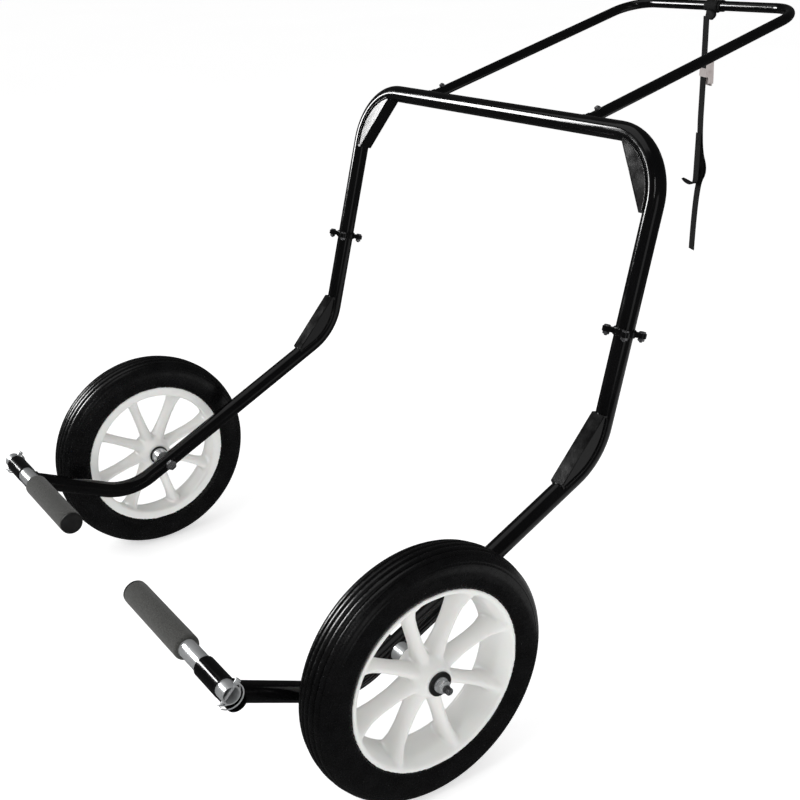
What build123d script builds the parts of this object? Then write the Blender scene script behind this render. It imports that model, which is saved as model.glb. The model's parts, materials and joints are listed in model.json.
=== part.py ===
from build123d import *
import math
import os

# Two-wheeled lifting dolly: an inverted-U upper frame bolted to two bent lower legs,
# a handle loop with a tie-down strap, two spoked wheels on stub axles and two
# foam-covered lifting pegs. Millimetres. X runs across the dolly (+X is the left
# hand of the person at the handle), Y from the pegs at the front (-Y) to the handle
# at the back (+Y), Z up. Sections are laid out from the axle line at y = 0, z = 0
# and moved at the end, so that the wheels stand on z = 0.

# --- driving dimensions ---------------------------------------------------------
TUBE_OD, TUBE_WALL = 31.75, 2.0          # main frame tube
HANDLE_OD, HANDLE_WALL = 19.05, 1.5      # handle tube
LEG_X = 417.5                            # leg centre line, each side of the middle
WHEEL_X = 496.5                          # wheel mid-plane, each side of the middle
WHEEL_R, TYRE_HALF_W = 205.0, 37.0
RIM_R, RIM_HALF_W = 148.4, 34.0

LEAN = math.radians(14.7)                # uprights lean back from vertical
DIAGONAL = math.radians(26.3)            # rise of the run that carries the axle
FRONT_RISE = math.radians(24.4)          # rise of the front run towards the pegs
JOINT = (463.3, 407.0)                   # flange joint, y and z from the axle
CROSSBAR_Z = 705.0
FRONT_BEND_Y = -88.9                     # where the diagonal meets the front run
PEG_END_Y = -280.0                       # centre of the cross tube at the leg's end
TOP_BEND_R, LEG_BEND_R = 105.0, 115.0

HANDLE_X = 218.5                         # handle arms, each side of the middle
HANDLE_RISE = math.radians(14.9)
HANDLE_LENGTH = 581.5                    # crossbar centre to end bar centre
HANDLE_BEND_R = 62.0

PEG_OD, PEG_WALL = 28.575, 1.8
PEG_BORE = 28.7                          # running fit on the peg tube
SOCKET_OD, SOCKET_LENGTH = 33.4, 61.0
SOCKET_X = LEG_X - 2.5                   # middle of both short cross tubes
SOCKET_LEAN = math.radians(28.8)         # socket sits this far forward of straight above
PEG_OUT_X, PEG_IN_X = 466.0, 142.0       # ends of the peg tube
FOAM_OUT_X, FOAM_OD = 329.0, 40.3
PIN_X, PIN_D = 459.5, 4.8
PIN_TILT = math.radians(44.5)            # lock pin, up from the floor, leaning back

AXLE_D, AXLE_BORE = 12.0, 12.1
HUB_HALF_L, SIDE_PLAY = 36.3, 0.3
WASHER_T, WASHER_OD = 3.0, 38.5          # black hub washers
SPOKES = 8

FLANGE_T, LUG_R, LUG_REACH = 4.0, 7.5, 28.5
GUSSET_W, GUSSET_T = 27.0, 2.5
TOP_GUSSET = (85.0, 119.0)               # reach along the crossbar and down the upright
BEND_GUSSET = (74.0, 86.0)               # reach up the upright and down the diagonal
STRAP_W, STRAP_T = 25.0, 1.6
STRAP_X, STRAP_TURN = -1.5, -23.0        # where it hangs, and its turn about the vertical
BUCKLE_Z = 724.5                         # cam's axis


# --- places worked out from them ------------------------------------------------
def leg_y(z):
    """Y of the upright's centre line at height z."""
    return JOINT[0] + math.tan(LEAN) * (z - JOINT[1])


BEND_Y = (JOINT[0] - math.tan(LEAN) * JOINT[1]) / (1 - math.tan(LEAN) * math.tan(DIAGONAL))
BEND_Z = math.tan(DIAGONAL) * BEND_Y
FRONT_BEND_Z = math.tan(DIAGONAL) * FRONT_BEND_Y
PEG_END_Z = FRONT_BEND_Z + math.tan(FRONT_RISE) * (FRONT_BEND_Y - PEG_END_Y)
SOCKET_Y = PEG_END_Y - SOCKET_OD * math.sin(SOCKET_LEAN)
SOCKET_Z = PEG_END_Z + SOCKET_OD * math.cos(SOCKET_LEAN)
CROSSBAR_Y = leg_y(CROSSBAR_Z)
END_Y = CROSSBAR_Y + HANDLE_LENGTH * math.cos(HANDLE_RISE)
END_Z = CROSSBAR_Z + HANDLE_LENGTH * math.sin(HANDLE_RISE)
FRONT_Y = SOCKET_Y - FOAM_OD / 2
BACK_Y = END_Y + HANDLE_OD / 2
TO_FLOOR = Pos(0, -(FRONT_Y + BACK_Y) / 2, WHEEL_R)
LEG_FACE_X = LEG_X + TUBE_OD / 2
HUB_IN_X = WHEEL_X - HUB_HALF_L - SIDE_PLAY
HUB_OUT_X = WHEEL_X + HUB_HALF_L + SIDE_PLAY

os.makedirs("parts", exist_ok=True)


def save(name, shape):
    """Write one node, moved from the axle line to the floor origin."""
    export_step(TO_FLOOR * shape, f"parts/{name}.step")


def save_pair(name, shape):
    """Write the left piece, at +X, and its mirror image on the right."""
    save(f"{name}_left", shape)
    save(f"{name}_right", mirror(shape, about=Plane.YZ))


# --- shapes used more than once -------------------------------------------------
def tube(path, od, wall):
    """A round tube swept along a path; a wall of 0 makes a solid bar."""
    start = Plane(origin=path @ 0, z_dir=path % 0)
    outer = sweep(start * Circle(od / 2), path=path)
    return outer if wall == 0 else outer - sweep(start * Circle(od / 2 - wall), path=path)


def disc_x(x0, x1, y, z, radius, bore=0.0):
    """A cylinder or ring along X between two stations."""
    ring = Cylinder(radius, x1 - x0)
    if bore:
        ring -= Cylinder(bore, x1 - x0 + 2)
    return Pos((x0 + x1) / 2, y, z) * Rot(0, 90, 0) * ring


def hexagon(across, height, bore=0.0):
    """A hexagon standing on the XY plane."""
    body = extrude(RegularPolygon(across / math.sqrt(3), 6), height)
    return body - Cylinder(bore / 2, 3 * height) if bore else body


def channel(outline, chord_normal, width, wall, clear_of):
    """A folded gusset: two cheeks of the outline and a web along its chord."""
    full = extrude(outline, width / 2, both=True)
    hollow = Location(chord_normal * -wall) * extrude(outline, width / 2 - wall, both=True)
    return (full - hollow - clear_of).solids().sort_by(SortBy.VOLUME)[-1]


# --- frame ----------------------------------------------------------------------
up = Vector(0, math.sin(LEAN), math.cos(LEAN))
joint_left = Vector(LEG_X, *JOINT)
corner_left = Vector(LEG_X, CROSSBAR_Y, CROSSBAR_Z)


def across(v):
    """The same point on the right-hand side."""
    return Vector(-v.X, v.Y, v.Z)


def upper_frame():
    foot = joint_left + up * FLANGE_T
    path = FilletPolyline(across(foot), across(corner_left), corner_left, foot,
                          radius=TOP_BEND_R)
    return path, tube(path, TUBE_OD, TUBE_WALL)


def lower_leg():
    path = FilletPolyline(
        joint_left - up * FLANGE_T,
        Vector(LEG_X, BEND_Y, BEND_Z),
        Vector(LEG_X, FRONT_BEND_Y, FRONT_BEND_Z),
        Vector(LEG_X, PEG_END_Y, PEG_END_Z),
        radius=LEG_BEND_R)
    return path, tube(path, TUBE_OD, TUBE_WALL)


def corner_gusset(corner, along_a, reach_a, along_b, reach_b, clear_of):
    """Gusset inside a bend: its chord joins two points on the tube's inner side."""
    a = corner + along_a * reach_a
    b = corner + along_b * reach_b
    inward = (along_a + along_b).normalized()
    side_a = (inward - along_a * inward.dot(along_a)).normalized()
    side_b = (inward - along_b * inward.dot(along_b)).normalized()
    surface = TUBE_OD / 2 + 1.0
    face = make_face(Polyline(a, a + side_a * surface, b + side_b * surface, b, corner, a))
    chord = (b + side_b * surface - a - side_a * surface).normalized()
    normal = (inward - chord * inward.dot(chord)).normalized()
    return channel(face, normal, GUSSET_W, GUSSET_T, clear_of)


def flange_plate(z0):
    """Four-lug flange of the tube's joint, in the joint's own plane."""
    plate = Circle(TUBE_OD / 2 + 3.5)
    for k in range(4):
        lug = Rot(0, 0, 45 + 90 * k) * (Pos(LUG_REACH / 2, 0) * Rectangle(LUG_REACH, 2 * LUG_R)
                                        + Pos(LUG_REACH, 0) * Circle(LUG_R))
        plate += lug
    for k in range(4):
        plate -= Rot(0, 0, 45 + 90 * k) * Pos(LUG_REACH, 0) * Circle(3.2)
    return Pos(0, 0, z0) * extrude(plate, FLANGE_T)


joint_plane = Location(Plane(origin=joint_left, x_dir=(1, 0, 0), z_dir=up))
LUG_SPOTS = [Rot(0, 0, 45 + 90 * k) * Pos(LUG_REACH, 0, 0) for k in range(4)]

upper_path, upper = upper_frame()
leg_path, leg = lower_leg()
axle_hole = disc_x(LEG_X - 30, LEG_X + 30, 0, 0, AXLE_D / 2)
cross_tube_bar = disc_x(SOCKET_X - SOCKET_LENGTH / 2, SOCKET_X + SOCKET_LENGTH / 2,
                        PEG_END_Y, PEG_END_Z, SOCKET_OD / 2)

save("upper_frame", upper)
upper_core = sweep(Plane(origin=upper_path @ 0, z_dir=upper_path % 0) * Circle(TUBE_OD / 2),
                   path=upper_path)
leg_core = sweep(Plane(origin=leg_path @ 0, z_dir=leg_path % 0) * Circle(TUBE_OD / 2), path=leg_path)
save_pair("lower_leg", leg - axle_hole - cross_tube_bar)

to_middle = Vector(-1, 0, 0)
diagonal_down = Vector(0, -math.cos(DIAGONAL), -math.sin(DIAGONAL))
save_pair("top_gusset", corner_gusset(corner_left, to_middle, TOP_GUSSET[0], up * -1,
                                      TOP_GUSSET[1], upper_core))
save_pair("bend_gusset", corner_gusset(Vector(LEG_X, BEND_Y, BEND_Z), up, BEND_GUSSET[0],
                                       diagonal_down, BEND_GUSSET[1], leg_core))

save_pair("upper_flange", joint_plane * flange_plate(0))
save_pair("lower_flange", joint_plane * flange_plate(-FLANGE_T))


def all_lugs(shape):
    """One fastener at every lug of both joints, as a group of solids."""
    left = [joint_plane * spot * shape for spot in LUG_SPOTS]
    return Compound(left + [mirror(s, about=Plane.YZ) for s in left])


bolt = Pos(0, 0, FLANGE_T) * hexagon(10, 4) + Pos(0, 0, FLANGE_T - 20) * extrude(Circle(3.0), 20)
save("flange_bolts", all_lugs(bolt))
save("flange_nuts", all_lugs(Pos(0, 0, -FLANGE_T - 6.2) * hexagon(10, 6.2, 6.0)))

# --- cross tube and peg socket --------------------------------------------------
save_pair("cross_tube", disc_x(SOCKET_X - SOCKET_LENGTH / 2, SOCKET_X + SOCKET_LENGTH / 2,
                               PEG_END_Y, PEG_END_Z, SOCKET_OD / 2, PEG_BORE / 2))
save_pair("peg_socket", disc_x(SOCKET_X - SOCKET_LENGTH / 2, SOCKET_X + SOCKET_LENGTH / 2,
                               SOCKET_Y, SOCKET_Z, SOCKET_OD / 2, PEG_BORE / 2))

# --- axle -----------------------------------------------------------------------
STACK = 7                                # zinc washers between leg and hub
washers_in = HUB_IN_X - WASHER_T
stack_t = (washers_in - LEG_FACE_X) / STACK
stack = [disc_x(LEG_FACE_X + k * stack_t, LEG_FACE_X + (k + 1) * stack_t, 0, 0, 16.5, AXLE_D / 2)
         for k in range(STACK)]
shank_in, shank_out = LEG_X - TUBE_OD / 2 - 2.0, HUB_OUT_X + WASHER_T + 24.0
axle = disc_x(shank_in, shank_out - 2, 0, 0, AXLE_D / 2)
axle += Pos(shank_out - 1, 0, 0) * Rot(0, 90, 0) * Cone(AXLE_D / 2, AXLE_D / 2 - 2, 2)
axle += Pos(shank_in, 0, 0) * Rot(0, -90, 0) * hexagon(19, 7.5)
save_pair("axle_bolt", axle)
save_pair("axle_spacers", Compound(stack))
save_pair("hub_washers", Compound([
    disc_x(washers_in, HUB_IN_X, 0, 0, WASHER_OD / 2, AXLE_D / 2),
    disc_x(HUB_OUT_X, HUB_OUT_X + WASHER_T, 0, 0, WASHER_OD / 2, AXLE_D / 2)]))
seat = HUB_OUT_X + WASHER_T
save_pair("axle_washer", disc_x(seat, seat + 2.2, 0, 0, 12.0, AXLE_D / 2))
nut = Pos(seat + 2.2, 0, 0) * Rot(0, 90, 0) * hexagon(19, 8, AXLE_D)
nut += disc_x(seat + 10.2, seat + 13.2, 0, 0, 8.2, AXLE_D / 2)
save_pair("axle_nut", nut)

# --- handle ---------------------------------------------------------------------
ARM_START, STUB_OD, COLLAR_OD, STUB_LENGTH = 24.0, 15.6, 22.0, 66.0
ARM_BOLT = 42.0                          # bolt's distance behind the crossbar's centre
arm_dir = Vector(0, math.cos(HANDLE_RISE), math.sin(HANDLE_RISE))
arm_root = Vector(HANDLE_X, CROSSBAR_Y, CROSSBAR_Z)
end_corner = Vector(HANDLE_X, END_Y, END_Z)
arm_foot = arm_root + arm_dir * ARM_START
handle_path = FilletPolyline(across(arm_foot), across(end_corner), end_corner, arm_foot,
                             radius=HANDLE_BEND_R)
arm_up = Vector(0, -math.sin(HANDLE_RISE), math.cos(HANDLE_RISE))


def on_arm(shape):
    """Place a piece that stands on the arm's bolt axis, on both arms."""
    spot = Location(Plane(origin=arm_root + arm_dir * ARM_BOLT, x_dir=(1, 0, 0), z_dir=arm_up))
    left = spot * shape
    return Compound([left, mirror(left, about=Plane.YZ)])


arm_hole = on_arm(Cylinder(3.0, 60))
save("handle_loop", tube(handle_path, HANDLE_OD, HANDLE_WALL) - arm_hole)
collar = extrude(Circle(COLLAR_OD / 2), ARM_START - 1) + extrude(Circle(STUB_OD / 2), STUB_LENGTH)
arm_plane = Location(Plane(origin=arm_root, x_dir=(1, 0, 0), z_dir=arm_dir))
save_pair("handle_stub", arm_plane * collar - upper_core - arm_hole)
half = HANDLE_OD / 2
save("handle_bolts", on_arm(Pos(0, 0, -half - 4) * hexagon(10, 4)
                            + Pos(0, 0, -half - 1) * extrude(Circle(3.0), 2 * half + 10)))
save("handle_nuts", on_arm(Pos(0, 0, half) * hexagon(10, 6, 6.0)))

# --- wheel ----------------------------------------------------------------------
spin = Axis((0, 0, 0), (1, 0, 0))


def lathe(points):
    """Turn a closed outline of (x, radius) points about the wheel's axle."""
    return revolve(make_face(Polyline(*[(x, 0, r) for x, r in points], close=True)), spin)


def tyre():
    side = TYRE_HALF_W
    bead, crown = RIM_R - 6.4, WHEEL_R
    outline = [
        Line((-29, 0, bead), (29, 0, bead)),
        Line((29, 0, bead), (29, 0, RIM_R)),
        ThreePointArc((29, 0, RIM_R), (side - 0.7, 0, RIM_R + 12), (side, 0, RIM_R + 26)),
        ThreePointArc((side, 0, RIM_R + 26), (side - 3.6, 0, crown - 14), (side - 13, 0, crown - 4.5)),
        ThreePointArc((side - 13, 0, crown - 4.5), (0, 0, crown), (13 - side, 0, crown - 4.5)),
        ThreePointArc((13 - side, 0, crown - 4.5), (3.6 - side, 0, crown - 14), (-side, 0, RIM_R + 26)),
        ThreePointArc((-side, 0, RIM_R + 26), (0.7 - side, 0, RIM_R + 12), (-29, 0, RIM_R)),
        Line((-29, 0, RIM_R), (-29, 0, bead)),
    ]
    air = make_face(Wire([
        Line((-20, 0, RIM_R), (20, 0, RIM_R)),
        ThreePointArc((20, 0, RIM_R), (side - 9, 0, RIM_R + 26), (20, 0, crown - 13)),
        Line((20, 0, crown - 13), (-20, 0, crown - 13)),
        ThreePointArc((-20, 0, crown - 13), (9 - side, 0, RIM_R + 26), (-20, 0, RIM_R))]))
    return revolve(make_face(Wire(outline)), spin) - revolve(air, spin)


def wheel_hub():
    rim_in = 130.0
    edge, seat_r = RIM_HALF_W, RIM_R - 6.4
    rim = lathe([(-edge, RIM_R), (-29, RIM_R), (-29, seat_r), (29, seat_r), (29, RIM_R), (edge, RIM_R),
                 (edge, RIM_R - 7), (12, rim_in), (-12, rim_in), (-edge, RIM_R - 7)])
    barrel = lathe([(-HUB_HALF_L, 0), (-HUB_HALF_L, 24), (-16, 33), (16, 33), (HUB_HALF_L, 24),
                    (HUB_HALF_L, 0)])
    body = rim + barrel
    for k in range(SPOKES):
        root = Plane.XY.offset(18) * Ellipse(31, 16)
        mouth = Plane.XY.offset(rim_in + 3) * Ellipse(23, 13)
        body += Rot(360 / SPOKES * (k + 0.35), 0, 0) * loft([root, mouth])
    return body - Rot(0, 90, 0) * Cylinder(8.0, 100)


place = Pos(WHEEL_X, 0, 0)
save_pair("tyre", place * tyre())
save_pair("wheel_hub", place * wheel_hub())
save_pair("hub_sleeve", disc_x(WHEEL_X - HUB_HALF_L, WHEEL_X + HUB_HALF_L, 0, 0, 8.0, AXLE_BORE / 2))

# --- lifting peg ----------------------------------------------------------------
pin_dir = Vector(0, math.cos(PIN_TILT), math.sin(PIN_TILT))
pin_spot = Location(Plane(origin=(PIN_X, SOCKET_Y, SOCKET_Z), x_dir=(1, 0, 0), z_dir=pin_dir))
PIN_HEAD, PIN_TIP = 18.5, -18.5          # head's centre and tip, from the peg's axis
pin_hole = pin_spot * Cylinder(PIN_D / 2, 60)
save_pair("peg_tube", disc_x(PEG_IN_X, PEG_OUT_X, SOCKET_Y, SOCKET_Z, PEG_OD / 2, PEG_OD / 2 - PEG_WALL)
          - pin_hole)
save_pair("peg_foam", disc_x(PEG_IN_X, FOAM_OUT_X, SOCKET_Y, SOCKET_Z, FOAM_OD / 2, PEG_OD / 2))
dome = Pos(-3.5, 0, 0) * Rot(0, 90, 0) * Cylinder(FOAM_OD / 2 - 0.4, 7)
dome = fillet(dome.edges().sort_by(Axis.X)[0], 6.0)
cap = dome + disc_x(0, 14, 0, 0, PEG_OD / 2 - PEG_WALL)
save_pair("peg_end_cap", Pos(PEG_IN_X, SOCKET_Y, SOCKET_Z) * cap)

pin = Pos(0, 0, PIN_TIP) * extrude(Circle(PIN_D / 2), PIN_HEAD - PIN_TIP)
pin += Pos(0, 0, PIN_HEAD - 3) * extrude(Circle(4.2), 7)
eye = Pos(0, 0, PIN_HEAD) * Rot(0, 90, 0) * Cylinder(1.1, 20)
save_pair("lock_pin", pin_spot * (pin - eye))

# The wire ring is hinged in the pin's head, runs round the tube and passes the tip.
WIRE_D, WIRE_SIDE = 2.0, 5.4


def lock_ring():
    radius = (PIN_HEAD - PIN_TIP + 3.4) / 2
    middle = PIN_HEAD - radius
    bow = Rot(0, 90, 0) * Torus(radius, WIRE_D / 2, major_angle=180, align=None)
    bar = Rot(0, 90, 0) * Cylinder(WIRE_D / 2, 2 * WIRE_SIDE)
    stub = Rot(0, 90, 0) * Cylinder(WIRE_D / 2, WIRE_SIDE - 1.2)
    ring = Pos(0, 0, middle - radius) * bar
    for s in (1, -1):
        ring += Pos(s * WIRE_SIDE, 0, middle) * bow
        ring += Pos(s * (WIRE_SIDE + 1.2) / 2, 0, PIN_HEAD) * stub
        for z in (PIN_HEAD, middle - radius):
            ring += Pos(s * WIRE_SIDE, 0, z) * Sphere(WIRE_D / 2)
    return ring


save_pair("lock_ring", pin_spot * lock_ring())

# --- tie strap ------------------------------------------------------------------
# 25 mm webbing hitched round the end bar. It hangs through a cam buckle, bellies out
# where a short fold is sewn to its front, and ends cut off.
STRAP_Y = END_Y - 11.0
HITCH_BOTTOM = END_Z - 26.0
hang = Pos(STRAP_X, STRAP_Y, 0) * Rot(0, 0, STRAP_TURN)


def band(route, radii):
    """Webbing along a route of (distance behind the strap's plane, height)."""
    points = [Vector(0, back, z) for back, z in route]
    line = FilletPolyline(*points, radius=radii) if radii else Line(*points)
    start = Plane(origin=points[0], x_dir=(1, 0, 0), z_dir=points[1] - points[0])
    return sweep(start * Rectangle(STRAP_W, STRAP_T), path=line)


def box_between(low, high):
    """A box from one corner to the opposite one."""
    size = Vector(*high) - Vector(*low)
    return Pos(*low) * Box(*size, align=Align.MIN)


UPPER_ROUTE = [(0, HITCH_BOTTOM), (0, BUCKLE_Z + 10)]
LOWER_ROUTE = [(0, BUCKLE_Z + 10), (0, 574), (19, 521), (0, 489), (0, 348)]
FOLD_ROUTE = [(-STRAP_T, 602), (-STRAP_T, 499), (-32, 509)]
bar = disc_x(-60, 60, END_Y, END_Z, HANDLE_OD / 2)
wrap_r = HANDLE_OD / 2 + 2.0
hitch = disc_x(-26, -5, END_Y, END_Z, wrap_r) + disc_x(-3, 18, END_Y, END_Z, wrap_r)
hitch += disc_x(-20, 12, END_Y - 1.5, END_Z - 1.5, wrap_r + 0.8)
knot = Pos(-1, STRAP_Y + 1, END_Z - 15.5) * Box(29, 15, 21)
hitch += fillet(knot.edges(), 5.0)
save("strap_hitch", hitch - bar)
save("strap_upper", hang * band(UPPER_ROUTE, None))
save("strap_lower", hang * band(LOWER_ROUTE, [120, 30, 55]))
save("strap_fold", hang * band(FOLD_ROUTE, 7.0))

# The cam buckle hangs on the strap: a folded frame, a pin and a cam with a thumb plate.
FRAME_HALF_W, FRAME_T = 15.2, 1.4
CAM_Y, CAM_R, CAM_PIN_D, CAM_HALF_W = 7.4, 6.0, 3.2, 12.6
FRAME_TOP, FRAME_BOTTOM = BUCKLE_Z + 23, BUCKLE_Z - 22
face = STRAP_T / 2
cheek_line = Polyline((-3, FRAME_TOP), (13, FRAME_TOP), (15, FRAME_BOTTOM), (3, FRAME_BOTTOM),
                      (3, BUCKLE_Z - 9), (-3, BUCKLE_Z - 9), close=True)
cheek_face = Plane.YZ.offset(FRAME_HALF_W - FRAME_T) * make_face(cheek_line)
cheek = extrude(cheek_face, FRAME_T) - Pos(0, CAM_Y, BUCKLE_Z) * Rot(0, 90, 0) * Cylinder(
    CAM_PIN_D / 2, 60)
inner_w = FRAME_HALF_W - FRAME_T
buckle = cheek + mirror(cheek, about=Plane.YZ)
buckle += box_between((-inner_w, -face - 1.5, BUCKLE_Z - 9), (inner_w, -face, BUCKLE_Z + 8))
buckle += box_between((-inner_w, face, FRAME_TOP - 6), (inner_w, face + 3, FRAME_TOP - 2))
save("buckle_frame", hang * buckle)
pin_head = FRAME_HALF_W + 1.2
cam_pin = disc_x(-pin_head, pin_head, CAM_Y, BUCKLE_Z, CAM_PIN_D / 2)
for s in (1, -1):
    cam_pin += Pos(s * (FRAME_HALF_W + 0.6), CAM_Y, BUCKLE_Z) * Rot(0, 90, 0) * Cylinder(2.6, 1.2)
save("buckle_pin", hang * cam_pin)
lever = disc_x(-CAM_HALF_W, CAM_HALF_W, CAM_Y, BUCKLE_Z, CAM_R)
lever += box_between((-CAM_HALF_W, CAM_Y + CAM_R - 2, BUCKLE_Z - 27), (CAM_HALF_W, CAM_Y + CAM_R, BUCKLE_Z))
save("buckle_lever", hang * (lever - disc_x(-20, 20, CAM_Y, BUCKLE_Z, CAM_PIN_D / 2 + 0.05)))
print(f"moved by {TO_FLOOR.position}, socket {SOCKET_Y:.2f} {SOCKET_Z:.2f}, end bar {END_Y:.2f} {END_Z:.2f}")
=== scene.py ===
"""Two-wheeled lift dolly: materials, tyres, moulded wheels, foam, webbing, fasteners and welds
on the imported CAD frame. Metres, in the row frame: +X across, +Y towards the handle, +Z up."""
import bpy
import bmesh
import json
import math
from mathutils import Matrix, Vector

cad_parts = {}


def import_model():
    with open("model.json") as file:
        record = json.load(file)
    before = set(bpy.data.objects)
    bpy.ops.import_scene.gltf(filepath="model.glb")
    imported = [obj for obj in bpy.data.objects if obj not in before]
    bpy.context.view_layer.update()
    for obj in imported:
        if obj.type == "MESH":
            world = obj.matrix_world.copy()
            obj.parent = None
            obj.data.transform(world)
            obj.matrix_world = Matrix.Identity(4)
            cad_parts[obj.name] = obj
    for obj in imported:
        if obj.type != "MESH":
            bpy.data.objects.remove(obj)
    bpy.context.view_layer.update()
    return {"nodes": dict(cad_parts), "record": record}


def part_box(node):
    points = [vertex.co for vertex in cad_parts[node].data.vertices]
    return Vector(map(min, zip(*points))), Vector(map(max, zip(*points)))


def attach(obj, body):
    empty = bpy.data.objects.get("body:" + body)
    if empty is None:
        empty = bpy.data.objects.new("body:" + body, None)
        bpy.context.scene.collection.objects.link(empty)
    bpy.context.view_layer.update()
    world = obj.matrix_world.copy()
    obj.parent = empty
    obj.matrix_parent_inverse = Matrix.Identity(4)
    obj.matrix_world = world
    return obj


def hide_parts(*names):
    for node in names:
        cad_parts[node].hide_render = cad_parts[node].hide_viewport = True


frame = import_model()
NODES = frame["nodes"]
SIDES = (("left", 1), ("right", -1))

# --- driving values, in metres and radians ------------------------------------------
TUBE_R, HANDLE_R, CROSS_R = 0.015875, 0.009525, 0.0167
LEAN, DIAGONAL, FRONT_RISE = math.radians(14.7), math.radians(26.3), math.radians(24.4)
HANDLE_RISE = math.radians(14.9)
TOP_BEND_R, LEG_BEND_R = 0.105, 0.115
GUSSET_HALF_W = 0.0135
TOP_GUSSET, BEND_GUSSET = (0.085, 0.119), (0.074, 0.086)
LEG_X = 0.4175
RIM_R, RIM_HALF_W, HUB_HALF_L = 0.1484, 0.034, 0.0363
SPOKES = 8
STRAP_W, STRAP_T = 0.025, 0.0016
STRAP_TURN = math.radians(-23.0)
ARM_X = 0.2185                                  # each handle arm's distance from the middle
AXLE_THREAD_R, AXLE_FLATS = 0.006, 0.019
SMALL_THREAD_R, SMALL_FLATS, SMALL_NUT_BORE = 0.003, 0.010, 0.00305
X_DIR = Vector((1, 0, 0))


def centre(node):
    low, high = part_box(node)
    return (low + high) / 2


WHEEL = {side: centre(f"tyre_{side}") for side, _ in SIDES}
AXLE = WHEEL["left"]
PEG = {side: centre(f"peg_tube_{side}") for side, _ in SIDES}
CROSS = {side: centre(f"cross_tube_{side}") for side, _ in SIDES}


# --- camera and light -----------------------------------------------------------------
def camera():
    data = bpy.data.cameras.new("camera")
    data.sensor_width = 36.0
    data.lens = 51.53
    data.clip_end = 200.0
    cam = bpy.data.objects.new("camera", data)
    azimuth, elevation, roll = (math.radians(a) for a in (55.75, 22.37, -1.66))
    turn = Matrix.Rotation(azimuth, 4, "Z") @ Matrix.Rotation(math.pi / 2 - elevation, 4, "X")
    cam.matrix_world = Matrix.Translation((1.6494, -1.2132, 1.2206)) @ turn @ Matrix.Rotation(roll, 4, "Z")
    bpy.context.scene.collection.objects.link(cam)
    bpy.context.scene.camera = cam


def area_light(name, place, target, size, radiance, glossy):
    """A rectangular panel that either only mirrors in glossy surfaces or only lights matt ones."""
    data = bpy.data.lights.new(name, "AREA")
    data.shape = "RECTANGLE"
    data.size, data.size_y = size
    data.energy = radiance * math.pi * size[0] * size[1]
    light = bpy.data.objects.new(name, data)
    light.location = place
    light.rotation_euler = (Vector(target) - Vector(place)).to_track_quat("-Z", "Y").to_euler()
    light.visible_camera = False
    light.visible_glossy = glossy
    light.visible_diffuse = not glossy
    bpy.context.scene.collection.objects.link(light)


def world():
    """White to the camera, soft to matt surfaces and almost dark to everything that mirrors it."""
    made = bpy.data.worlds.new("studio")
    made.use_nodes = True
    bpy.context.scene.world = made
    nodes, links = made.node_tree.nodes, made.node_tree.links
    nodes.clear()
    path = nodes.new("ShaderNodeLightPath")
    shades = []
    for strength in (0.5, 1.0, 0.05):
        shade = nodes.new("ShaderNodeBackground")
        shade.inputs["Color"].default_value = (1, 1, 1, 1)
        shade.inputs["Strength"].default_value = strength
        shades.append(shade)
    seen = nodes.new("ShaderNodeMixShader")
    mirrored = nodes.new("ShaderNodeMixShader")
    out = nodes.new("ShaderNodeOutputWorld")
    links.new(path.outputs["Is Camera Ray"], seen.inputs[0])
    links.new(shades[0].outputs[0], seen.inputs[1])
    links.new(shades[1].outputs[0], seen.inputs[2])
    links.new(path.outputs["Is Glossy Ray"], mirrored.inputs[0])
    links.new(seen.outputs[0], mirrored.inputs[1])
    links.new(shades[2].outputs[0], mirrored.inputs[2])
    links.new(mirrored.outputs[0], out.inputs["Surface"])


def studio():
    camera()
    world()
    area_light("glint_front_left", (-3.0, -2.2, 1.90), (0, 0, 0.85), (0.95, 1.45), 34, True)
    area_light("glint_camera", (1.9, -3.0, 2.7), (0, 0, 0.5), (0.16, 1.2), 12, True)
    area_light("sheen_top", (-0.9, -0.9, 3.4), (0, 0, 0.4), (2.6, 2.6), 0.6, True)
    area_light("sheen_floor", (0.9, 0.9, 0.01), (0.9, 0.9, 2.0), (1.6, 1.6), 0.4, True)
    area_light("sheen_side", (3.4, -1.0, 1.0), (0, 0, 0.4), (1.2, 1.6), 0.5, True)
    area_light("soft_key", (0.6, -3.0, 2.6), (0.2, -0.3, 0.3), (1.4, 1.0), 7.0, False)
    area_light("soft_right", (3.0, -0.6, 2.2), (0, -0.2, 0.3), (1.2, 1.2), 2.2, False)
    bm = bmesh.new()
    bmesh.ops.create_circle(bm, cap_ends=True, radius=40.0, segments=64)
    floor = finish_mesh("floor", bm, smooth=False)
    floor.data.materials.append(floor_material())
    floor.visible_glossy = False
    bpy.context.scene.view_settings.view_transform = "Standard"
    bpy.context.scene.cycles.use_denoising = True


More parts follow.
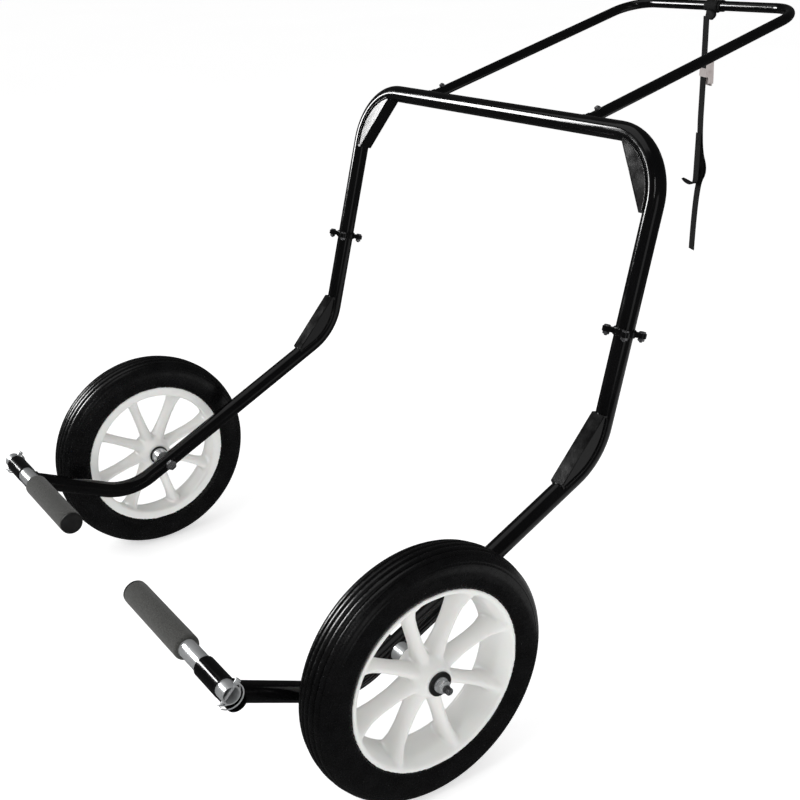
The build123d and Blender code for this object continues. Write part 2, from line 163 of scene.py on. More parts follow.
# --- materials ------------------------------------------------------------------------
class Look:
    """A Principled material under construction, with object coordinates in metres."""

    def __init__(self, name, rough, metal=0.0, **sockets):
        self.mat = bpy.data.materials.new(name)
        self.mat.use_nodes = True
        self.nodes, self.links = self.mat.node_tree.nodes, self.mat.node_tree.links
        self.bsdf = self.nodes["Principled BSDF"]
        self.bsdf.inputs["Roughness"].default_value = rough
        self.bsdf.inputs["Metallic"].default_value = metal
        for socket, value in sockets.items():
            self.bsdf.inputs[socket.replace("_", " ")].default_value = value
        self.coords = self.nodes.new("ShaderNodeTexCoord").outputs["Object"]
        self.height = None

    def stretch(self, scale):
        """Coordinates scaled by a different amount along each axis."""
        mapping = self.nodes.new("ShaderNodeMapping")
        mapping.inputs["Scale"].default_value = scale
        self.links.new(self.coords, mapping.inputs["Vector"])
        return mapping.outputs["Vector"]

    def noise(self, scale, detail=3.0, coords=None):
        made = self.nodes.new("ShaderNodeTexNoise")
        made.inputs["Scale"].default_value = scale
        made.inputs["Detail"].default_value = detail
        self.links.new(coords or self.coords, made.inputs["Vector"])
        return made.outputs["Fac"]

    def cells(self, scale, coords=None):
        made = self.nodes.new("ShaderNodeTexVoronoi")
        made.inputs["Scale"].default_value = scale
        self.links.new(coords or self.coords, made.inputs["Vector"])
        return made.outputs["Distance"]

    def ramp(self, value, low, high, start=0.3, end=0.7):
        made = self.nodes.new("ShaderNodeValToRGB")
        first, last = made.color_ramp.elements
        first.position, last.position = start, end
        first.color = (*low, 1) if len(low) == 3 else low
        last.color = (*high, 1) if len(high) == 3 else high
        self.links.new(value, made.inputs["Fac"])
        return made.outputs["Color"]

    def colour(self, value, low, high, start=0.3, end=0.7):
        self.links.new(self.ramp(value, low, high, start, end), self.bsdf.inputs["Base Color"])

    def roughness(self, value, low, high):
        made = self.nodes.new("ShaderNodeMapRange")
        made.inputs["From Min"].default_value, made.inputs["From Max"].default_value = 0.3, 0.7
        made.inputs["To Min"].default_value, made.inputs["To Max"].default_value = low, high
        self.links.new(value, made.inputs["Value"])
        self.links.new(made.outputs["Result"], self.bsdf.inputs["Roughness"])

    def bump(self, value, strength, distance):
        made = self.nodes.new("ShaderNodeBump")
        made.inputs["Strength"].default_value = strength
        made.inputs["Distance"].default_value = distance
        self.links.new(value, made.inputs["Height"])
        if self.height:
            self.links.new(self.height, made.inputs["Normal"])
        self.height = made.outputs["Normal"]
        self.links.new(self.height, self.bsdf.inputs["Normal"])


def floor_material():
    look = Look("pale_floor", 0.9, Emission_Color=(1, 1, 1, 1), Emission_Strength=0.56)
    look.colour(look.noise(0.6), (0.92, 0.92, 0.92), (0.94, 0.94, 0.94))
    return look.mat


def paint_material():
    look = Look("black_gloss_paint", 0.12, Specular_IOR_Level=0.4)
    look.colour(look.noise(9.0), (0.0016, 0.0016, 0.0018), (0.0034, 0.0034, 0.0036))
    look.roughness(look.noise(35.0), 0.08, 0.17)
    look.bump(look.noise(420.0, 2.0), 0.05, 0.0006)
    return look.mat


def zinc_material():
    look = Look("bright_zinc", 0.22, metal=0.65)
    look.colour(look.noise(30.0), (0.70, 0.72, 0.73), (0.80, 0.81, 0.82))
    look.roughness(look.noise(200.0, coords=look.stretch((0.2, 1.0, 1.0))), 0.16, 0.27)
    look.bump(look.noise(900.0, coords=look.stretch((0.05, 1.0, 1.0))), 0.03, 0.0002)
    return look.mat


def dark_steel_material():
    look = Look("dark_zinc_steel", 0.25, metal=0.8)
    look.colour(look.noise(120.0), (0.14, 0.14, 0.145), (0.32, 0.32, 0.33))
    look.roughness(look.noise(260.0), 0.16, 0.34)
    look.bump(look.noise(900.0), 0.06, 0.0002)
    return look.mat


def satin_plastic_material():
    look = Look("satin_black_plastic", 0.45, Specular_IOR_Level=0.35)
    look.colour(look.noise(60.0), (0.008, 0.008, 0.008), (0.015, 0.015, 0.015))
    look.roughness(look.noise(500.0), 0.36, 0.58)
    look.bump(look.cells(1500.0), 0.12, 0.0003)
    return look.mat


def foam_material():
    look = Look("grey_foam", 0.95, Specular_IOR_Level=0.2, Sheen_Weight=0.15, Sheen_Roughness=0.5)
    speckle = look.noise(900.0, 4.0)
    look.colour(speckle, (0.035, 0.035, 0.033), (0.10, 0.10, 0.094), 0.36, 0.64)
    look.roughness(look.noise(300.0), 0.82, 0.98)
    look.bump(look.cells(900.0), 0.35, 0.0006)
    look.bump(look.noise(45.0), 0.25, 0.0012)
    return look.mat


def rubber_material():
    look = Look("black_rubber", 0.25, Specular_IOR_Level=0.4)
    look.colour(look.noise(30.0), (0.0022, 0.0022, 0.0024), (0.005, 0.005, 0.0054))
    look.roughness(look.noise(160.0), 0.17, 0.36)
    look.bump(look.noise(700.0, 4.0), 0.08, 0.0004)
    return look.mat


def wheel_material():
    look = Look("off_white_plastic", 0.4, Specular_IOR_Level=0.25, Subsurface_Weight=0.08,
                Subsurface_Scale=0.01)
    look.colour(look.noise(14.0), (0.84, 0.84, 0.82), (0.89, 0.89, 0.87))
    look.roughness(look.noise(90.0), 0.32, 0.46)
    look.bump(look.noise(260.0, 3.0), 0.05, 0.0005)
    look.bump(look.noise(22.0), 0.08, 0.002)
    return look.mat


def steel_material():
    look = Look("turned_steel", 0.3, metal=1.0)
    look.colour(look.noise(80.0), (0.38, 0.38, 0.38), (0.55, 0.55, 0.56))
    look.roughness(look.noise(400.0), 0.22, 0.4)
    look.bump(look.noise(900.0, coords=look.stretch((1.0, 0.1, 0.1))), 0.05, 0.0002)
    return look.mat


def nickel_material():
    look = Look("nickel_plate", 0.35, metal=0.45)
    look.colour(look.noise(60.0), (0.72, 0.64, 0.62), (0.84, 0.77, 0.75))
    look.roughness(look.noise(200.0), 0.3, 0.42)
    look.bump(look.noise(400.0), 0.04, 0.0002)
    return look.mat


def webbing_material():
    """Ribs across the band and lengthwise threads, both as bumps, from the band's own U and V in metres."""
    look = Look("woven_webbing", 0.8, Specular_IOR_Level=0.2, Sheen_Weight=0.03, Sheen_Roughness=0.4)
    look.coords = look.nodes.new("ShaderNodeTexCoord").outputs["UV"]
    ribs = look.nodes.new("ShaderNodeTexWave")
    ribs.bands_direction = "Y"
    ribs.inputs["Scale"].default_value = 150.0
    ribs.inputs["Distortion"].default_value = 0.4
    look.links.new(look.coords, ribs.inputs["Vector"])
    warp = look.nodes.new("ShaderNodeTexWave")
    warp.bands_direction = "X"
    warp.inputs["Scale"].default_value = 220.0
    look.links.new(look.coords, warp.inputs["Vector"])
    look.colour(look.noise(900.0), (0.002, 0.002, 0.002), (0.007, 0.007, 0.0073))
    look.roughness(look.noise(400.0), 0.6, 0.85)
    look.bump(ribs.outputs["Fac"], 0.5, 0.0006)
    look.bump(warp.outputs["Fac"], 0.35, 0.0004)
    return look.mat


LOOKS = {
    "frame_paint": paint_material(),
    "zinc": zinc_material(),
    "dark_fasteners": dark_steel_material(),
    "washer_plastic": satin_plastic_material(),
    "foam": foam_material(),
    "tyre_rubber": rubber_material(),
    "wheel_plastic": wheel_material(),
    "bearing_steel": steel_material(),
    "webbing": webbing_material(),
    "buckle_steel": nickel_material(),
}


def dress_cad_nodes():
    slots = {part["node"]: part["material_slot"] for part in frame["record"]["subparts"]}
    for name, node in NODES.items():
        node.data.materials.clear()
        node.data.materials.append(LOOKS[slots[name]])


# --- mesh helpers -----------------------------------------------------------------------
def finish_mesh(name, bm, smooth=True, sharp_angle=None):
    bmesh.ops.recalc_face_normals(bm, faces=bm.faces)
    data = bpy.data.meshes.new(name)
    bm.to_mesh(data)
    bm.free()
    data.polygons.foreach_set("use_smooth", [smooth] * len(data.polygons))
    if sharp_angle:
        data.set_sharp_from_angle(angle=math.radians(sharp_angle))
    obj = bpy.data.objects.new(name, data)
    bpy.context.scene.collection.objects.link(obj)
    return obj


def dress(obj, slot, body, *replaced):
    """Material, slot and body of a new piece, and the CAD nodes that it stands for."""
    obj.data.materials.clear()
    obj.data.materials.append(LOOKS[slot])
    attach(obj, body)
    if replaced:
        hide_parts(*replaced)
    return obj


def rounded(points, radii, steps=4):
    """A polyline's corners cut back by their radii and bridged by short curves."""
    out = [Vector(points[0])]
    for before, corner, after, radius in zip(points, points[1:], points[2:], radii):
        before, corner, after = Vector(before), Vector(corner), Vector(after)
        start = corner + (before - corner).normalized() * radius
        end = corner + (after - corner).normalized() * radius
        for k in range(steps + 1):
            t = k / steps
            out.append(start * (1 - t) ** 2 + corner * 2 * t * (1 - t) + end * t * t)
    return out + [Vector(points[-1])]


def bridge(bm, ring, following):
    """A closed strip of faces between two rings of equal count."""
    count = len(ring)
    for i in range(count):
        j = (i + 1) % count
        bm.faces.new((ring[i], ring[j], following[j], following[i]))


def add_lathe(bm, outline, steps, place):
    """Turn a closed outline of (x, radius) about the X axis, then move it by a matrix."""
    rings = []
    for k in range(steps):
        angle = 2 * math.pi * k / steps
        rings.append([bm.verts.new(place @ Vector((x, r * math.cos(angle), r * math.sin(angle))))
                      for x, r in outline])
    for k in range(steps):
        bridge(bm, rings[k], rings[(k + 1) % steps])


def lathe(name, outline, place, steps=96, sharp_angle=40):
    bm = bmesh.new()
    add_lathe(bm, outline, steps, place)
    return finish_mesh(name, bm, sharp_angle=sharp_angle)


def facing(place, direction):
    """A matrix that puts the X axis along a direction at a place."""
    return Matrix.Translation(place) @ Vector(direction).to_track_quat("X", "Z").to_matrix().to_4x4()


def add_sweep(bm, points, section, width_of=None):
    """Sweep a closed section of (side, up) along points; width_of gives the side direction."""
    rings = []
    side = None
    for k, point in enumerate(points):
        ahead = (points[min(k + 1, len(points) - 1)] - points[max(k - 1, 0)]).normalized()
        if width_of:
            side = width_of(k / (len(points) - 1))
        elif side is None:
            side = ahead.orthogonal()
        side = (side - ahead * side.dot(ahead)).normalized()
        up = ahead.cross(side)
        outline = section(k / (len(points) - 1))
        rings.append([bm.verts.new(point + side * a + up * b) for a, b in outline])
    for ring, following in zip(rings, rings[1:]):
        bridge(bm, ring, following)
    bm.faces.new(rings[0])
    bm.faces.new(reversed(rings[-1]))
    return rings


def circle_points(radius, count=10):
    return [(radius * math.cos(2 * math.pi * k / count), radius * math.sin(2 * math.pi * k / count))
            for k in range(count)]


def resampled(points, step):
    """Points at even steps along a polyline."""
    out = [points[0]]
    left = step
    for a, b in zip(points, points[1:]):
        length = (b - a).length
        along = left
        while along <= length:
            out.append(a.lerp(b, along / length))
            along += step
        left = along - length
    return out


# --- wheels -----------------------------------------------------------------------------
def tyre_outline():
    """Half a section: sidewall with fine rings, then rounded ribs across the crown."""
    crown, edge, pitch = 0.205, 0.0275, 0.011
    wall = [(0.0290, 0.1420), (0.0290, 0.1484), (0.0335, 0.1495), (0.0362, 0.1560), (0.0370, 0.1650),
            (0.0370, 0.1760), (0.0362, 0.1840), (0.0345, 0.1900), (0.0318, 0.1952), (edge, 0.1985)]
    curve = rounded([(x, r, 0) for x, r in wall], [0.0, 0.001] + [0.0028] * 6, 5)
    half = [(p.x, p.y) for p in curve]
    for ring in (0.1876, 0.1912):
        half = [(x + 0.0006 * math.exp(-((r - ring) / 0.0007) ** 2), r) for x, r in half]
    count = 60
    for k in range(1, count + 1):
        x = edge * (1 - k / count)
        rib = abs(math.sin(math.pi * (x / pitch + 0.5)))
        groove = 0.0032 * (1 - min(1.0, rib * 1.5))
        half.append((x, crown - 0.0055 * (x / edge) ** 2 - groove - 0.0014 * (1 - rib)))
    return half + [(-x, r) for x, r in reversed(half[:-1])]


def build_tyres():
    outline = tyre_outline()
    for side, _ in SIDES:
        tyre = lathe(f"ribbed_tyre_{side}", outline, Matrix.Translation(WHEEL[side]), 220, 50)
        dress(tyre, "tyre_rubber", f"wheel_{side}", f"tyre_{side}")


def add_spoke(bm, turn):
    """One spoke: lens-shaped sections, from a stout root to a mouth as deep as the rim."""
    stations = ((0.014, 0.0300, 0.0125), (0.034, 0.0215, 0.0108), (0.060, 0.0170, 0.0094),
                (0.090, 0.0170, 0.0088), (0.110, 0.0195, 0.0092), (0.123, 0.0245, 0.0102),
                (0.137, 0.0315, 0.0125))
    around = 28
    rings = []
    for reach, deep, wide in stations:
        ring = []
        for k in range(around):
            angle = 2 * math.pi * k / around
            depth = deep * math.copysign(abs(math.cos(angle)) ** 0.85, math.cos(angle))
            width = wide * math.copysign(abs(math.sin(angle)) ** 1.15, math.sin(angle))
            ring.append(bm.verts.new(turn @ Vector((depth, width, reach))))
        rings.append(ring)
    for ring, following in zip(rings, rings[1:]):
        bridge(bm, ring, following)
    bm.faces.new(rings[0])
    bm.faces.new(reversed(rings[-1]))


def wheel_form():
    """Rim, spokes and barrel fused by a fine remesh, so that they flow into each other."""
    bm = bmesh.new()
    edge, seat = RIM_HALF_W, RIM_R - 0.0064
    rim = [(-edge, RIM_R), (-0.029, RIM_R), (-0.029, seat), (0.029, seat), (0.029, RIM_R), (edge, RIM_R),
           (edge, RIM_R - 0.0070), (0.031, RIM_R - 0.0090), (0.010, 0.1335), (-0.015, 0.1305),
           (-0.030, 0.1290), (-edge, 0.1315)]
    add_lathe(bm, rim, 180, Matrix.Identity(4))
    barrel = [(-HUB_HALF_L, 0.0086), (-HUB_HALF_L, 0.0235), (-0.030, 0.0262), (-0.014, 0.033),
              (0.014, 0.033), (0.030, 0.0262), (HUB_HALF_L, 0.0235), (HUB_HALF_L, 0.0086)]
    add_lathe(bm, barrel, 72, Matrix.Identity(4))
    for k in range(SPOKES):
        add_spoke(bm, Matrix.Rotation(2 * math.pi * (k + 0.35) / SPOKES, 4, "X"))
    obj = finish_mesh("wheel_form", bm)
    remesh = obj.modifiers.new("fuse", "REMESH")
    remesh.mode = "VOXEL"
    remesh.voxel_size = 0.0024
    remesh.use_smooth_shade = True
    soften = obj.modifiers.new("soften", "SMOOTH")
    soften.factor, soften.iterations = 0.5, 9
    bpy.context.view_layer.update()
    form = bpy.data.meshes.new_from_object(obj.evaluated_get(bpy.context.evaluated_depsgraph_get()))
    bpy.data.objects.remove(obj)
    return form


def build_wheels():
    form = wheel_form()
    for side, sign in SIDES:
        data = form.copy()
        data.transform(Matrix.Translation(WHEEL[side]) @ Matrix.Scale(sign, 4, (1, 0, 0)))
        if sign < 0:
            data.flip_normals()
        wheel = bpy.data.objects.new(f"moulded_wheel_{side}", data)
        bpy.context.scene.collection.objects.link(wheel)
        dress(wheel, "wheel_plastic", f"wheel_{side}", f"wheel_hub_{side}")


# --- pegs ---------------------------------------------------------------------------------
def build_pegs():
    for side, sign in SIDES:
        low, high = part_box(f"peg_foam_{side}")
        outer, inner = (high.x - low.x) / 2, (high.z - low.z) / 2
        bore = 0.0143
        sleeve = rounded([(0, bore, 0), (-outer, bore, 0), (-outer, inner, 0), (outer, inner, 0),
                          (outer, bore, 0), (0, bore, 0)], [0.0005, 0.0042, 0.0042, 0.0005], 6)
        middle = Vector(((low.x + high.x) / 2, PEG[side].y, PEG[side].z))
        foam = lathe(f"foam_sleeve_{side}", [(p.x, p.y) for p in sleeve[:-1]],
                     Matrix.Translation(middle), 96, 50)
        dress(foam, "foam", f"peg_{side}", f"peg_foam_{side}")
        low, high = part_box(f"peg_end_cap_{side}")
        face = low.x if sign > 0 else high.x
        radius = (high.z - low.z) / 2
        dome = [(0.0, 0.0002), (0.0004, 0.35 * radius), (0.0014, 0.68 * radius), (0.0034, 0.93 * radius),
                (0.0052, radius), (0.0066, radius), (0.0070, 0.97 * radius), (0.0070, 0.0128),
                (0.0205, 0.0125), (0.0205, 0.0002)]
        curve = rounded([(x, r, 0) for x, r in dome], [0.0004, 0.0008, 0.001, 0.0008, 0.0003, 0.0003,
                                                      0.0002, 0.0004], 4)
        cap = lathe(f"domed_cap_{side}", [(p.x, p.y) for p in curve],
                    Matrix.Translation((face, PEG[side].y, PEG[side].z)) @ Matrix.Scale(sign, 4, (1, 0, 0)),
                    72, 50)
        dress(cap, "washer_plastic", f"peg_{side}", f"peg_end_cap_{side}")


# --- fasteners ------------------------------------------------------------------------------
def add_hexagon(bm, place, flats, low, high, bore=0.0):
    """A hexagon along X with both ends' corners chamfered round, or only a ring with a bore."""
    count, apothem = 36, flats / 2
    rings = []
    for station in range(4):
        ring = []
        for k in range(count):
            angle = 2 * math.pi * k / count
            reach = apothem / math.cos((angle + math.pi / 6) % (math.pi / 3) - math.pi / 6)
            drop = (reach - apothem) * 0.55
            if station in (0, 3):
                x, r = (low, high)[station // 3], apothem * 0.95
            else:
                x, r = (low + drop + 0.0002, high - drop - 0.0002)[station - 1], reach
            ring.append(bm.verts.new(place @ Vector((x, r * math.cos(angle), r * math.sin(angle)))))
        rings.append(ring)
    if bore:
        for x in (high, low):
            rings.append([bm.verts.new(place @ Vector((x, bore * math.cos(2 * math.pi * k / count),
                                                       bore * math.sin(2 * math.pi * k / count))))
                          for k in range(count)])
        rings.append(rings[0])
    for ring, following in zip(rings, rings[1:]):
        bridge(bm, ring, following)
    if not bore:
        bm.faces.new(rings[0])
        bm.faces.new(reversed(rings[-1]))


def thread_outline(start, end, radius, pitch, inner=0.0003):
    """A threaded stub along X with a chamfered tip at its end."""
    outline = [(start, inner), (start, radius)]
    for k in range(int((end - start - pitch) / pitch)):
        x = start + pitch * (k + 0.5)
        outline += [(x, radius - 0.55 * pitch), (x + 0.5 * pitch, radius)]
    return outline + [(end - 0.6 * pitch, radius - 0.4 * pitch), (end, radius - 1.3 * pitch), (end, inner)]


def build_axles():
    for side, sign in SIDES:
        low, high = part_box(f"axle_bolt_{side}")
        flip = Matrix.Scale(sign, 4, (1, 0, 0))
        head_in, tip = (low.x, high.x) if sign > 0 else (-high.x, -low.x)
        nut_low, nut_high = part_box(f"axle_nut_{side}")
        nut_in, nut_out = (nut_low.x, nut_high.x) if sign > 0 else (-nut_high.x, -nut_low.x)
        place = flip @ Matrix.Translation((0, AXLE.y, AXLE.z))
        head_t, thread_in = 0.0075, nut_in - 0.004
        bm = bmesh.new()
        add_hexagon(bm, place, AXLE_FLATS, head_in, head_in + head_t)
        shank = [(head_in + head_t, 0.0003), (head_in + head_t, AXLE_THREAD_R),
                 (thread_in, AXLE_THREAD_R), (thread_in, 0.0003)]
        add_lathe(bm, shank, 40, place)
        add_lathe(bm, thread_outline(thread_in, tip, AXLE_THREAD_R, 0.0016), 40, place)
        bolt = finish_mesh(f"axle_screw_{side}", bm, sharp_angle=35)
        dress(bolt, "dark_fasteners", "frame", f"axle_bolt_{side}")
        bm = bmesh.new()
        add_hexagon(bm, place, AXLE_FLATS, nut_in, nut_in + 0.0082, 0.0061)
        add_lathe(bm, [(nut_in + 0.0080, 0.0061), (nut_in + 0.0080, 0.0082), (nut_out - 0.0009, 0.0082),
                       (nut_out, 0.0074), (nut_out, 0.0061)], 40, place)
        nut = finish_mesh(f"collared_nut_{side}", bm, sharp_angle=35)
        dress(nut, "zinc", "frame", f"axle_nut_{side}")


def joint_frame(side):
    """The flange joint's middle and the upright's direction."""
    low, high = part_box(f"upper_flange_{side}")
    low_b, high_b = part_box(f"lower_flange_{side}")
    middle = (low + high + low_b + high_b) / 4
    return middle, Vector((0, math.sin(LEAN), math.cos(LEAN)))


def build_flange_bolts():
    bolts, nuts = bmesh.new(), bmesh.new()
    for side, _ in SIDES:
        middle, up = joint_frame(side)
        back = up.cross(X_DIR)
        for k in range(4):
            angle = math.radians(45 + 90 * k)
            spot = middle + (X_DIR * math.cos(angle) + back * math.sin(angle)) * 0.0285
            place = facing(spot, up)
            add_hexagon(bolts, place, SMALL_FLATS, 0.0040, 0.0068)
            add_lathe(bolts, thread_outline(0.0, 0.0112, SMALL_THREAD_R, 0.001), 20,
                      place @ Matrix.Rotation(math.pi, 4, "Z"))
            add_hexagon(nuts, place, SMALL_FLATS, -0.0088, -0.0041, SMALL_NUT_BORE)
    dress(finish_mesh("flange_screws", bolts, sharp_angle=35), "dark_fasteners", "frame", "flange_bolts")
    dress(finish_mesh("flange_hex_nuts", nuts, sharp_angle=35), "dark_fasteners", "frame", "flange_nuts")


def build_handle_bolts():
    """Each arm's bolt stands square to the arm, head below and nut above."""
    low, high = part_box("handle_nuts")
    up = Vector((0, -math.sin(HANDLE_RISE), math.cos(HANDLE_RISE)))
    nut_mid = Vector((0, (low.y + high.y) / 2, (low.z + high.z) / 2))
    arm_x = high.x - SMALL_FLATS / math.sqrt(3)
    bolts, nuts = bmesh.new(), bmesh.new()
    for _, sign in SIDES:
        place = facing(nut_mid + Vector((sign * arm_x, 0, 0)) - up * (HANDLE_R + 0.003), up)
        add_hexagon(bolts, place, SMALL_FLATS, -0.0135, -0.0096)
        add_lathe(bolts, thread_outline(-0.0100, 0.0160, SMALL_THREAD_R, 0.001), 24, place)
        add_hexagon(nuts, place, SMALL_FLATS, 0.0096, 0.0139, SMALL_NUT_BORE)
    dress(finish_mesh("arm_screws", bolts, sharp_angle=35), "dark_fasteners", "frame", "handle_bolts")
    dress(finish_mesh("arm_nuts", nuts, sharp_angle=35), "dark_fasteners", "frame", "handle_nuts")


# --- welds ----------------------------------------------------------------------------------
def add_bead(bm, points, radius, pitch=0.0032):
    """A weld bead: a swept ridge that swells at each ripple."""
    line = resampled(points, pitch / 4)
    count = len(line)

    def section(t):
        swell = 1 + 0.16 * math.cos(2 * math.pi * t * (count - 1) / 4)
        return circle_points(radius * swell, 8)

    add_sweep(bm, line, section)


def corner_line(corner, along_a, along_b, reach_a, reach_b, bend, inset, sideways):
    """Line on the inner side of a bent tube: the filleted centre line, moved inward."""
    half = along_a.angle(along_b) / 2
    tangent = bend / math.tan(half)
    bisector = (along_a + along_b).normalized()
    middle = corner + bisector * bend / math.sin(half)
    points = []
    steps = 60
    for k in range(steps + 1):
        reach = reach_a * (1 - 2 * k / steps) if k <= steps / 2 else reach_b * (2 * k / steps - 1)
        along = along_a if k <= steps / 2 else along_b
        straight = corner + along * reach
        if reach >= tangent:
            inward = (middle - (corner + along * tangent)).normalized()
            points.append(straight + inward * inset)
        else:
            out = (straight - middle).normalized()
            points.append(middle + out * (bend - inset))
    return [p + sideways for p in points]


def fold_end(corner, along, other, reach):
    """Where a gusset's folded edge meets the inner side of the tube."""
    inner = (other - along * other.dot(along)).normalized()
    return corner + along * reach + inner * (TUBE_R - 0.0004)


def build_gusset_welds():
    inset = math.sqrt(TUBE_R ** 2 - GUSSET_HALF_W ** 2) + 0.0008
    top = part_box("upper_frame")[1]
    for side, sign in SIDES:
        middle, up = joint_frame(side)
        corner_z = top.z - TUBE_R
        rise = (corner_z - middle.z) / up.z
        corner = Vector((sign * LEG_X, middle.y + up.y * rise, corner_z))
        inwards = Vector((-sign, 0, 0))
        bend_corner = bend_point(middle, up, sign)
        down = Vector((0, -math.cos(DIAGONAL), -math.sin(DIAGONAL)))
        bm = bmesh.new()
        square = up.cross(inwards)
        gussets = ((corner, inwards, -up, TOP_GUSSET, TOP_BEND_R, square),
                   (bend_corner, up, down, BEND_GUSSET, LEG_BEND_R, X_DIR))
        for s in (-1, 1):
            for at, along_a, along_b, reach, bend, sideways in gussets:
                add_bead(bm, corner_line(at, along_a, along_b, reach[0] - 0.004, reach[1] - 0.004, bend,
                                         inset, sideways * s * (GUSSET_HALF_W + 0.0006)), 0.0019)
            for at, along_a, along_b, reach, _, sideways in gussets:
                a = fold_end(at, along_a, along_b, reach[0])
                b = fold_end(at, along_b, along_a, reach[1])
                line = [a.lerp(b, t) + sideways * s * (GUSSET_HALF_W - 0.0007) for t in (0.01, 0.5, 0.99)]
                add_sweep(bm, line, lambda t: circle_points(0.0012, 12))
        welds = finish_mesh(f"gusset_welds_{side}", bm)
        dress(welds, "frame_paint", "frame")


def bend_point(middle, up, sign):
    """Where the upright's line meets the diagonal that passes through the axle."""
    slope = math.tan(DIAGONAL)
    reach = (middle.z - AXLE.z - slope * (middle.y - AXLE.y)) / (up.z - slope * up.y)
    meet = middle - up * reach
    return Vector((sign * LEG_X, meet.y, meet.z))


def saddle(centre_at, axis, side, radius, onto):
    """The ring where a tube of one radius stands on a tube of another that runs along side."""
    across = axis.cross(side)
    points = []
    for k in range(73):
        angle = 2 * math.pi * k / 72
        lift = math.sqrt(max(onto ** 2 - (radius * math.sin(angle)) ** 2, 0))
        points.append(centre_at + side * radius * math.cos(angle) + across * radius * math.sin(angle)
                      + axis * lift)
    return points


def build_joint_welds():
    front = Vector((0, math.cos(FRONT_RISE), -math.sin(FRONT_RISE)))
    arm = Vector((0, math.cos(HANDLE_RISE), math.sin(HANDLE_RISE)))
    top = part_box("upper_frame")[1]
    for side, sign in SIDES:
        bm = bmesh.new()
        cross, peg = CROSS[side], centre(f"peg_socket_{side}")
        add_bead(bm, saddle(Vector((sign * LEG_X, cross.y, cross.z)), front, X_DIR, TUBE_R, CROSS_R), 0.0022)
        apart = (peg - cross).normalized()
        square = apart.cross(X_DIR)
        for s in (-1, 1):
            line = [(peg + cross) / 2 + square * s * 0.0052 + X_DIR * x for x in (-0.027, 0.027)]
            add_bead(bm, line, 0.0027)
        middle, up = joint_frame(side)
        for lift in (0.0046, -0.0046):
            ring = saddle(middle + up * lift, up, X_DIR, TUBE_R + 0.0008, 0.0)
            add_bead(bm, ring, 0.0020)
        rise = (top.z - TUBE_R - middle.z) / up.z
        root = Vector((sign * ARM_X, middle.y + up.y * rise, top.z - TUBE_R))
        add_bead(bm, saddle(root, arm, X_DIR, 0.0112, TUBE_R), 0.0016)
        dress(finish_mesh(f"joint_welds_{side}", bm), "frame_paint", "frame")


# --- tie strap --------------------------------------------------------------------------------
BAR_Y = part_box("handle_loop")[1].y - HANDLE_R
BAR_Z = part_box("strap_hitch")[1].z - 0.011525     # the hitch stands 2 mm proud of the bar
STRAP_AT = Vector((-0.0015, BAR_Y - 0.011, 0.0))
WIDTH_DIR = Vector((math.cos(STRAP_TURN), math.sin(STRAP_TURN), 0))
BACK_DIR = Vector((-math.sin(STRAP_TURN), math.cos(STRAP_TURN), 0))
# Each route is a row of (distance sideways, distance behind the strap's plane, height).
STRAP_ROUTE = [(-0.007, 0, BAR_Z - 0.020), (-0.002, 0, 0.9295), (0, 0, 0.779), (0, 0.019, 0.726),
               (0, 0, 0.694), (0, 0, 0.553)]
FOLD_ROUTE = [(0, -0.0018, 0.805), (0, -0.0018, 0.726), (0, -0.0018, 0.702), (0, -0.012, 0.697),
              (0, -0.033, 0.7135)]
TUCK_ROUTE = [(0.0005, -0.0002, 0.777), (0.0005, 0.0075, 0.738), (0.0005, 0.0085, 0.722),
              (0.0005, 0.0010, 0.700)]


def route_points(name, route, order=3):
    """Points at even steps along the smooth line of a route."""
    data = bpy.data.curves.new(name, "CURVE")
    data.dimensions = "3D"
    spline = data.splines.new("NURBS")
    spline.points.add(len(route) - 1)
    for point, (side, back, height) in zip(spline.points, route):
        point.co = (*(STRAP_AT + WIDTH_DIR * side + BACK_DIR * back + Vector((0, 0, height))), 1)
    spline.order_u = order
    spline.use_endpoint_u = True
    data.resolution_u = 24
    obj = bpy.data.objects.new(name, data)
    bpy.context.scene.collection.objects.link(obj)
    bpy.context.view_layer.update()
    mesh = bpy.data.meshes.new_from_object(obj)
    points = [v.co.copy() for v in mesh.vertices]
    bpy.data.objects.remove(obj)
    return resampled(points, 0.002)


def band_section(width, thick):
    """A flat section with rounded edges."""
    a, b = width / 2, thick / 2
    edge = b * 0.9
    return [(-a, 0), (-a + edge * 0.3, b * 0.75), (-a + edge, b), (-a / 2, b), (0, b), (a / 2, b),
            (a - edge, b), (a - edge * 0.3, b * 0.75), (a, 0), (a - edge * 0.3, -b * 0.75), (a - edge, -b),
            (a / 2, -b), (0, -b), (-a / 2, -b), (-a + edge, -b), (-a + edge * 0.3, -b * 0.75)]


def ribbon(name, points, width_dir, width=STRAP_W, thick=STRAP_T, taper=None):
    """Webbing with U across and V along it, both in metres."""
    bm = bmesh.new()
    rings = add_sweep(bm, points, lambda t: band_section(width * (taper(t) if taper else 1), thick),
                      width_dir)
    along = {}
    travelled = 0.0
    for k, ring in enumerate(rings):
        if k:
            travelled += (points[k] - points[k - 1]).length
        for vert, (a, _) in zip(ring, band_section(width, thick)):
            along[vert] = (a, travelled)
    layer = bm.loops.layers.uv.new("band")
    for face in bm.faces:
        for loop in face.loops:
            loop[layer].uv = along[loop.vert]
    return finish_mesh(name, bm, sharp_angle=60)


def around_bar(x0, x1, start, end, radius, steps=48):
    """A turn of webbing round the end bar, creeping along it."""
    points = []
    for k in range(steps + 1):
        t = k / steps
        angle = math.radians(start + (end - start) * t)
        points.append(Vector((x0 + (x1 - x0) * t, BAR_Y - radius * math.cos(angle),
                              BAR_Z + radius * math.sin(angle))))
    return points


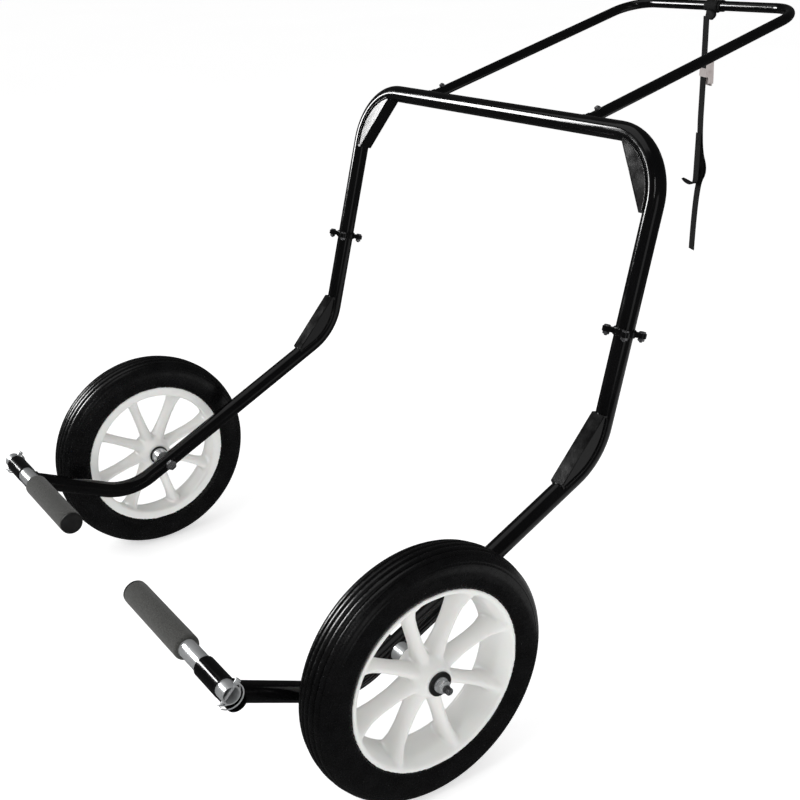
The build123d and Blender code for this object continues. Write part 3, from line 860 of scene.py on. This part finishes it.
def tail_twist(t):
    """The sewn fold's free tail rolls over so that its face shows."""
    roll = math.radians(38) * max(0.0, (t - 0.62) / 0.38)
    return WIDTH_DIR * math.cos(roll) + Vector((0, 0, 1)) * math.sin(roll)


def tail_taper(t):
    return 1 - 0.72 * max(0.0, (t - 0.70) / 0.30) ** 2


def build_strap():
    line = route_points("strap_line", STRAP_ROUTE)
    strap = ribbon("hanging_strap", line, lambda t: WIDTH_DIR)
    dress(strap, "webbing", "frame", "strap_upper", "strap_lower")
    fold = ribbon("sewn_fold", route_points("fold_line", FOLD_ROUTE), tail_twist, taper=tail_taper)
    dress(fold, "webbing", "frame", "strap_fold")
    tuck = ribbon("tucked_layer", route_points("tuck_line", TUCK_ROUTE), lambda t: WIDTH_DIR)
    dress(tuck, "webbing", "frame")
    stitches = build_stitches()
    dress(stitches, "webbing", "frame")
    turns = (("hitch_turn_a", (-0.007, -0.002, -60, 290, 0.0106), 0.018, 0.0019),
             ("hitch_turn_b", (0.014, 0.019, -70, 280, 0.0106), 0.019, 0.0019),
             ("hitch_bridge", (0.003, 0.010, -110, 60, 0.0128), 0.022, 0.002))
    for name, turn, width, thick in turns:
        dress(ribbon(name, around_bar(*turn), lambda t: X_DIR, width, thick), "webbing", "frame")
    knot = build_knot()
    dress(knot, "webbing", "frame", "strap_hitch")


def build_knot():
    """The lump under the bar: webbing tucked over itself, seen as three soft folds."""
    bm = bmesh.new()
    folds = ((0.006, -0.0015, -0.0140, 0.0150, 0.0048, 14), (0.010, -0.0035, -0.0155, 0.0110, 0.0042, 30),
             (0.001, 0.0005, -0.0200, 0.0125, 0.0040, 16))
    for x, back, drop, half_w, half_t, tilt in folds:
        turn = Matrix.Rotation(math.radians(tilt), 4, "Y") @ Matrix.Rotation(STRAP_TURN / 2, 4, "Z")
        place = Matrix.Translation((x, STRAP_AT.y + back + 0.0015, BAR_Z + drop)) @ turn
        made = bmesh.ops.create_uvsphere(bm, u_segments=32, v_segments=20, radius=1.0)
        for vert in made["verts"]:
            p = vert.co
            squared = Vector([math.copysign(abs(c) ** 0.72, c) for c in p])
            crease = 1 + 0.06 * math.sin(9 * p.x) * (1 - abs(p.z))
            vert.co = place @ Vector((squared.x * half_w, squared.y * half_t * crease, squared.z * 0.0058))
    return finish_mesh("hitch_knot", bm)


def build_stitches():
    """A box of short raised stitches where the fold is sewn on."""
    bm = bmesh.new()
    low, high, half = 0.782, 0.801, 0.0095
    front = -0.0018 - STRAP_T / 2 - 0.0002
    corners = [(-half, low), (half, low), (half, high), (-half, high), (-half, low), (half, high)]
    for (xa, za), (xb, zb) in zip(corners, corners[1:]):
        start = STRAP_AT + WIDTH_DIR * xa + BACK_DIR * front + Vector((0, 0, za))
        end = STRAP_AT + WIDTH_DIR * xb + BACK_DIR * front + Vector((0, 0, zb))
        count = max(3, int((end - start).length / 0.003))
        for k in range(count):
            a, b = start.lerp(end, (k + 0.15) / count), start.lerp(end, (k + 0.85) / count)
            add_sweep(bm, [a, a.lerp(b, 0.5) - BACK_DIR * 0.0002, b], lambda t: circle_points(0.0004, 6))
    return finish_mesh("fold_stitches", bm)


# --- the whole --------------------------------------------------------------------------------
studio()
dress_cad_nodes()
build_strap()
build_tyres()
build_wheels()
build_pegs()
build_axles()
build_flange_bolts()
build_handle_bolts()
build_gusset_welds()
build_joint_welds()
